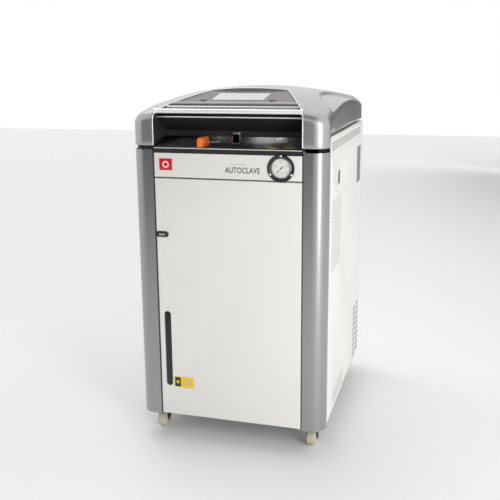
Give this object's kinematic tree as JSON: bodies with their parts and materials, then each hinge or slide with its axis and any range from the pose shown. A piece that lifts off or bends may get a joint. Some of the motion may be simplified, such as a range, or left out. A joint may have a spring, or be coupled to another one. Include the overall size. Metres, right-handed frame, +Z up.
{
  "type": "top-loading autoclave",
  "caption": "Top-loading steam autoclave on casters: upright cabinet with round-nosed columns, hinged arched lid with grab bar, sliding lock lever, gauge and front service door.",
  "frame": {"origin": "on the floor, under the middle of the cabinet", "axes": "+Z up, +X to the right seen from the front, front faces -Y"},
  "size_m": [0.5311, 0.6794, 0.981],
  "materials": {
    "silver_paint": "metallic silver paint, satin",
    "silver_column": "metallic silver paint, satin",
    "white_paint": "fine powder coat, off-white",
    "stainless": "brushed",
    "chassis_steel": "zinc-plated",
    "dark_plastic": "satin",
    "panel_plastic": "satin print",
    "key_plastic": "matte",
    "orange_plastic": "glossy",
    "chrome": "polished",
    "silicone": "matte",
    "black_rubber": "matte",
    "copper_pipe": "drawn",
    "brass_fitting": "machined",
    "insulation": "fibrous",
    "bottle_plastic": "translucent",
    "dial_face": "matte",
    "clear_lens": "polished",
    "smoked_window": "smoked",
    "nylon_wheel": "satin",
    "zinc": "zinc-plated"
  },
  "bodies": {
    "cabinet": {"base_frame": "chassis_steel", "back_panel": "white_paint", "inner_frame": "chassis_steel", "deck_plate": "stainless", "deck_seal": "black_rubber", "door_frame": "white_paint", "upper_front_panel": "white_paint", "left_front_column": "silver_column", "right_front_column": "silver_column", "left_side_panel": "white_paint", "right_side_panel": "white_paint", "chamber_vessel": "stainless", "chamber_insulation": "insulation", "heater_element": "stainless", "drain_pipe": "copper_pipe", "drain_valve_body": "brass_fitting", "exhaust_manifold": "brass_fitting", "safety_valve": "brass_fitting", "exhaust_valve": "dark_plastic", "exhaust_pipe": "copper_pipe", "exhaust_bottle": "bottle_plastic", "door_hinge_pins": "zinc", "gauge_case": "zinc", "gauge_flange": "dark_plastic", "gauge_screws": "zinc", "gauge_dial": "dial_face", "gauge_lens": "clear_lens", "breaker_body": "dark_plastic", "fan_frame": "dark_plastic", "cord_gland": "dark_plastic", "caster_plates": "zinc", "hinge_bracket": "zinc"},
    "lid": {"lid_shell": "silver_paint", "lid_liner": "dark_plastic", "lid_catch": "zinc", "control_panel": "panel_plastic", "grab_bar": "chrome", "pressure_lid": "stainless", "lid_gasket": "silicone", "lid_hinge_leaf": "zinc"},
    "start_key": {"start_key": "key_plastic"},
    "stop_key": {"stop_key": "key_plastic"},
    "door": {"front_door": "white_paint", "level_window": "smoked_window"},
    "latch": {"latch_button": "dark_plastic"},
    "lock": {"lock_lever": "orange_plastic"},
    "pointer": {"gauge_pointer": "dark_plastic"},
    "toggle": {"breaker_toggle": "dark_plastic"},
    "fan": {"fan_rotor": "dark_plastic"},
    "valve_handle": {"drain_valve_handle": "orange_plastic"},
    "cap": {"bottle_cap": "dark_plastic"},
    "screen": {"floor_screen": "stainless"},
    "front_left_swivel": {"front_left_caster_fork": "zinc"},
    "front_left_roller": {"front_left_wheel": "nylon_wheel"},
    "front_right_swivel": {"front_right_caster_fork": "zinc"},
    "front_right_roller": {"front_right_wheel": "nylon_wheel"},
    "rear_left_swivel": {"rear_left_caster_fork": "zinc"},
    "rear_left_roller": {"rear_left_wheel": "nylon_wheel"},
    "rear_right_swivel": {"rear_right_caster_fork": "zinc"},
    "rear_right_roller": {"rear_right_wheel": "nylon_wheel"}
  },
  "joints": [
    {"name": "lid_hinge", "type": "hinge", "parent": "cabinet", "child": "lid", "pos_m": [0, 0.333, 0.864], "axis": [-1, 0, 0], "range_deg": [0, 78]},
    {"name": "start_key_press", "type": "slide", "parent": "lid", "child": "start_key", "axis": [0, 0.1709, -0.9853], "range_m": [0, 0.001], "stiffness_N_per_m": 600, "springref_m": -0.001},
    {"name": "stop_key_press", "type": "slide", "parent": "lid", "child": "stop_key", "axis": [0, 0.1709, -0.9853], "range_m": [0, 0.001], "stiffness_N_per_m": 600, "springref_m": -0.001},
    {"name": "door_hinge", "type": "hinge", "parent": "cabinet", "child": "door", "pos_m": [0.197, -0.321, 0.41], "axis": [0, 0, 1], "range_deg": [0, 105]},
    {"name": "latch_press", "type": "slide", "parent": "door", "child": "latch", "axis": [0, 1, 0], "range_m": [0, 0.003], "stiffness_N_per_m": 500, "springref_m": -0.002},
    {"name": "lock_slide", "type": "slide", "parent": "cabinet", "child": "lock", "axis": [1, 0, 0], "range_m": [0, 0.05]},
    {"name": "pointer_turn", "type": "hinge", "parent": "cabinet", "child": "pointer", "pos_m": [0.146, -0.32, 0.784], "axis": [0, 1, 0], "range_deg": [0, 270]},
    {"name": "breaker_rock", "type": "hinge", "parent": "cabinet", "child": "toggle", "pos_m": [0.256, -0.144, 0.74], "axis": [0, 1, 0], "range_deg": [0, 50]},
    {"name": "fan_spin", "type": "hinge", "parent": "cabinet", "child": "fan", "pos_m": [0.25, 0.247, 0.726], "axis": [1, 0, 0], "continuous": true},
    {"name": "valve_turn", "type": "hinge", "parent": "cabinet", "child": "valve_handle", "pos_m": [0.112, -0.01, 0.132], "axis": [0, 1, 0], "range_deg": [0, 90]},
    {"name": "cap_turn", "type": "hinge", "parent": "cabinet", "child": "cap", "pos_m": [-0.138, -0.163, 0.33], "axis": [0, 0, 1], "continuous": true},
    {"name": "screen_lift", "type": "slide", "parent": "cabinet", "child": "screen", "axis": [0, 0, 1], "range_m": [0, 0.36]},
    {"name": "front_left_caster_swivel", "type": "hinge", "parent": "cabinet", "child": "front_left_swivel", "pos_m": [-0.222, -0.244, 0.058], "axis": [0, 0, 1], "continuous": true},
    {"name": "front_left_wheel_spin", "type": "hinge", "parent": "front_left_swivel", "child": "front_left_roller", "pos_m": [-0.222, -0.262, 0.025], "axis": [1, 0, 0], "continuous": true},
    {"name": "front_right_caster_swivel", "type": "hinge", "parent": "cabinet", "child": "front_right_swivel", "pos_m": [0.222, -0.244, 0.058], "axis": [0, 0, 1], "continuous": true},
    {"name": "front_right_wheel_spin", "type": "hinge", "parent": "front_right_swivel", "child": "front_right_roller", "pos_m": [0.222, -0.262, 0.025], "axis": [1, 0, 0], "continuous": true},
    {"name": "rear_left_caster_swivel", "type": "hinge", "parent": "cabinet", "child": "rear_left_swivel", "pos_m": [-0.222, 0.25, 0.058], "axis": [0, 0, 1], "continuous": true},
    {"name": "rear_left_wheel_spin", "type": "hinge", "parent": "rear_left_swivel", "child": "rear_left_roller", "pos_m": [-0.222, 0.268, 0.025], "axis": [1, 0, 0], "continuous": true},
    {"name": "rear_right_caster_swivel", "type": "hinge", "parent": "cabinet", "child": "rear_right_swivel", "pos_m": [0.222, 0.25, 0.058], "axis": [0, 0, 1], "continuous": true},
    {"name": "rear_right_wheel_spin", "type": "hinge", "parent": "rear_right_swivel", "child": "rear_right_roller", "pos_m": [0.222, 0.268, 0.025], "axis": [1, 0, 0], "continuous": true}
  ]
}
